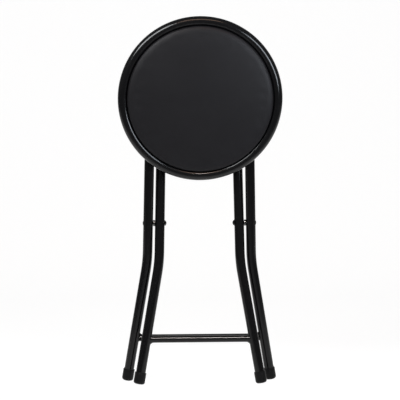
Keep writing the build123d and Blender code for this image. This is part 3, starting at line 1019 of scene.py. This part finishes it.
def dome(base_r, base_at, height):
    """Points of a ball's cap over a base, from its rim to its top. A negative height points down."""
    ball_r = (base_r**2 + height**2) / (2 * abs(height))
    half = math.degrees(math.asin(base_r / ball_r))
    sign = math.copysign(1.0, height)
    middle = base_at + height - sign * ball_r
    curve = arc((0.0, 0.0), ball_r, 90 - half, half, steps=12)
    return [(r, middle + sign * z) for r, z in curve[:-1]] + [(0.0, base_at + height)]


head_at = OUTER_PIVOT_HALF + TUBE_R + PIVOT_PLAY
nut_at = INNER_PIVOT_HALF - TUBE_R - PIVOT_PLAY
shank_end = nut_at - NUT_THREAD
bolt_section = [(0.0, shank_end), (PIVOT_R, shank_end), (PIVOT_R, head_at)]
bolt_section += dome(BOLT_HEAD_R, head_at, BOLT_HEAD_H)

bore_r = PIVOT_R + PIVOT_FIT
nut_section = [(0.0, shank_end), (bore_r, shank_end), (bore_r, nut_at)]
nut_section += dome(NUT_R, nut_at, -NUT_H)

spacer_low = INNER_PIVOT_HALF + TUBE_R + PIVOT_PLAY
spacer_high = spacer_low + TUBE_GAP - 2 * PIVOT_PLAY
edge_mid = SPACER_R - SPACER_EDGE_R
spacer_section = [(bore_r, spacer_low)]
spacer_section += arc((edge_mid, spacer_low + SPACER_EDGE_R), SPACER_EDGE_R, -90, 90, steps=6)
spacer_section += arc((edge_mid, spacer_high - SPACER_EDGE_R), SPACER_EDGE_R, 0, 90, steps=6)
spacer_section += [(bore_r, spacer_high)]
print("spacer", round((spacer_high - spacer_low) / MM, 2), "mm long")

# %% Turn the bolts, nuts and spacers
PIVOT_STEPS = 64
PIVOT_PIECES = {
    "bolt": (bolt_section, False, "bolt_steel", black_steel),
    "nut": (nut_section, False, "bolt_steel", black_steel),
    "spacer": (spacer_section, True, "spacer_steel", spacer_steel),
}
for side_name, side in SIDES.items():
    for kind, (section, closed, slot, material) in PIVOT_PIECES.items():
        mesh = turned_mesh(kind, section, PIVOT_STEPS, material, closed)
        mesh.transform(standing(Vector((0, 0, pivot.z)), Vector((side, 0, 0))))
        keep_piece(f"turned_{kind}_{side_name}", mesh, "pivots", slot, f"pivot_{kind}_{side_name}")

# %% [markdown]
# ## Hinge straps
#
# Two strips of sheet steel bow round the outer frame's top bar and are screwed to the seat on both sides of
# it. They are the hinge that the seat flips on. A strip is drawn by its middle line, given its width, then
# Solidify gives the sheet and Bevel breaks the cut edges.

# %% Bend the straps
STRAP_W = 22.0 * MM
STRAP_T = 2.0 * MM
STRAP_FIT = 0.2 * MM
STRAP_END_GAP = 3.0 * MM
STRAP_BEND_R = 1.6 * MM
SCREW_ROOM = 11.0 * MM
STRAP_BREAK = 0.35 * MM
hinge_y = -bar_rise * math.sin(open_lean)
hinge_z = -(TUBE_R + SEAT_GAP)


def straight_half(leg):
    """Half of the top bar's straight run."""
    turn = math.pi / 2 - UPPER_SPLAY
    return half_width(leg, leg["bar_rise"]) - CORNER_R * math.tan(turn / 2)


strap_bow_r = TUBE_R + STRAP_FIT + STRAP_T
strap_end = strap_bow_r + STRAP_BEND_R + SCREW_ROOM
strap_x = straight_half(LEGS["outer"]) - STRAP_END_GAP - STRAP_W / 2
middle_r = strap_bow_r - STRAP_T / 2
bend_r = STRAP_BEND_R + STRAP_T / 2
right_half = [(strap_end, -STRAP_T / 2)]
right_half += arc((middle_r + bend_r, -STRAP_T / 2 - bend_r), bend_r, 90, 90, steps=8)
right_half += arc((0.0, hinge_z), middle_r, 0, -90, steps=16)
left_half = [(-y, z) for y, z in right_half[-2::-1]]
strap_line = [(hinge_y + y, z) for y, z in right_half + left_half]

for side_name, side in SIDES.items():
    edges = (side * strap_x - STRAP_W / 2, side * strap_x + STRAP_W / 2)
    carrier = add_object("strip", mesh_from("strip", *strip(strap_line, edges)))
    carrier.data.shade_smooth()
    add_modifier(carrier, "SOLIDIFY", thickness=STRAP_T, offset=0.0)
    add_modifier(carrier, "BEVEL", width=STRAP_BREAK, segments=2, limit_method="ANGLE")
    mesh = plain_mesh(carrier)
    mesh.materials.append(tube_enamel)
    mesh.set_sharp_from_angle(angle=SHARP_ANGLE)
    mesh.transform(seat_plane)
    keep_piece(f"bow_strap_{side_name}", mesh, "seat", "black_paint", f"hinge_strap_{side_name}")

# %% [markdown]
# ## Screws
#
# Twelve pan-head screws hold the straps, the forks and the board. One head is modelled with a real cross
# recess, cut by a tapered cross, and Geometry Nodes set a copy on each point. Each is turned by its own
# angle, because nobody lines screws up. Copying objects by hand would work for twelve, but not for a change
# of mind.

# %% Model one screw head
SCREW_HEAD_R = 4.0 * MM
SCREW_HEAD_H = 2.0 * MM
SCREW_EDGE_R = 1.4 * MM
SCREW_STEPS = 40
RECESS_HALF = 2.2 * MM
RECESS_HALF_W = 0.55 * MM
RECESS_DEPTH = 1.2 * MM
RECESS_TAPER = 0.55

rim_r = SCREW_HEAD_R - SCREW_EDGE_R
head_section = [(0.0, -SCREW_HEAD_H), (rim_r / 2, -SCREW_HEAD_H)]
head_section += arc((rim_r, SCREW_EDGE_R - SCREW_HEAD_H), SCREW_EDGE_R, -90, 90, steps=8)
head_section += [(SCREW_HEAD_R, 0.0), (0.0, 0.0)]
head_form = turned_mesh("screw_head", head_section, SCREW_STEPS, zinc_plate)

arm = [(RECESS_HALF, -RECESS_HALF_W), (RECESS_HALF, RECESS_HALF_W), (RECESS_HALF_W, RECESS_HALF_W)]
cross = []
for quarter in range(4):
    cross += arm
    arm = [(-y, x) for x, y in arm]
count = len(cross)
outside = [(x, y, -SCREW_HEAD_H - RECESS_DEPTH / 4) for x, y in cross]
inside = [(x * RECESS_TAPER, y * RECESS_TAPER, -SCREW_HEAD_H + RECESS_DEPTH) for x, y in cross]
cross_faces = [tuple(range(count)), tuple(range(count, 2 * count))]
cross_faces += [(i, (i + 1) % count, (i + 1) % count + count, i + count) for i in range(count)]
cutter = add_object("recess", closed_mesh("recess", outside + inside, cross_faces, zinc_plate))
head_mesh = modified(head_form, "BOOLEAN", object=cutter, operation="DIFFERENCE", solver="EXACT")
head_mesh.set_sharp_from_angle(angle=SHARP_ANGLE)
bpy.data.objects.remove(cutter)
print("screw head", len(head_mesh.polygons), "faces")

# %% Build the tree that sets the screws
SCREW_SEED = 7

screw_tree, given, result = new_group(
    "screws_on_points", "GeometryNodeTree",
    [("Geometry", "Geometry", None), ("Screw", "Object", None), ("Seed", "Int", SCREW_SEED),
     ("Material", "Material", None)],
    [("Geometry", "Geometry")],
)
screw = add_node(screw_tree, "GeometryNodeObjectInfo", {
    "Object": given.outputs["Screw"], "As Instance": True})
spin = add_node(screw_tree, "FunctionNodeRandomValue", {
    2: 0.0, 3: 2 * math.pi, 8: given.outputs["Seed"]}, data_type="FLOAT")
turn = add_node(screw_tree, "ShaderNodeCombineXYZ", {"Z": spin.outputs[1]})
placed = add_node(screw_tree, "GeometryNodeInstanceOnPoints", {
    "Points": given.outputs["Geometry"], "Instance": screw.outputs["Geometry"],
    "Rotation": turn.outputs[0]})
end_tree(screw_tree, given, result, placed)
print("screw tree", len(screw_tree.nodes), "nodes")

# %% Set the screws
CLIP_W = 16.0 * MM
CLIP_WALL = 3.5 * MM
CLIP_FIT = 0.3 * MM
CLIP_FLANGE_T = 4.0 * MM
CLIP_END_GAP = 4.0 * MM
CLIP_FILLET_R = 3.0 * MM
COVER_HEM = 16.0 * MM
BOARD_SCREW_INSET = 8.0 * MM

catch_y = LEGS["inner"]["bar_rise"] * math.sin(open_lean)
clip_x = straight_half(LEGS["inner"]) - CLIP_END_GAP - CLIP_W / 2
strap_screw_y = strap_end - SCREW_ROOM / 2
clip_screw_y = TUBE_R + CLIP_FIT + CLIP_WALL + CLIP_FILLET_R + SCREW_ROOM / 2
board_r = PAD_R - COVER_HEM - BOARD_SCREW_INSET
four_ways = [(s, d) for s in (-1, 1) for d in (-1, 1)]
screw_places = [(s * strap_x, hinge_y + d * strap_screw_y, -STRAP_T) for s, d in four_ways]
screw_places += [(s * clip_x, catch_y + d * clip_screw_y, -CLIP_FLANGE_T) for s, d in four_ways]
screw_places += [(board_r, 0, 0), (-board_r, 0, 0), (0, board_r, 0), (0, -board_r, 0)]
head = add_object("screw_head", head_mesh)
screw_points = add_object("screw_points", mesh_from("screw_points", screw_places, []))
mesh = run_tree(screw_points, screw_tree, {"Screw": head, "Seed": SCREW_SEED, "Material": zinc_plate})
bpy.data.objects.remove(head)
mesh.transform(seat_plane)
keep_piece("seat_screws", mesh, "seat", "screw_steel", "strap_screws", "clip_screws", "board_screws")
print("screws", len(screw_places))
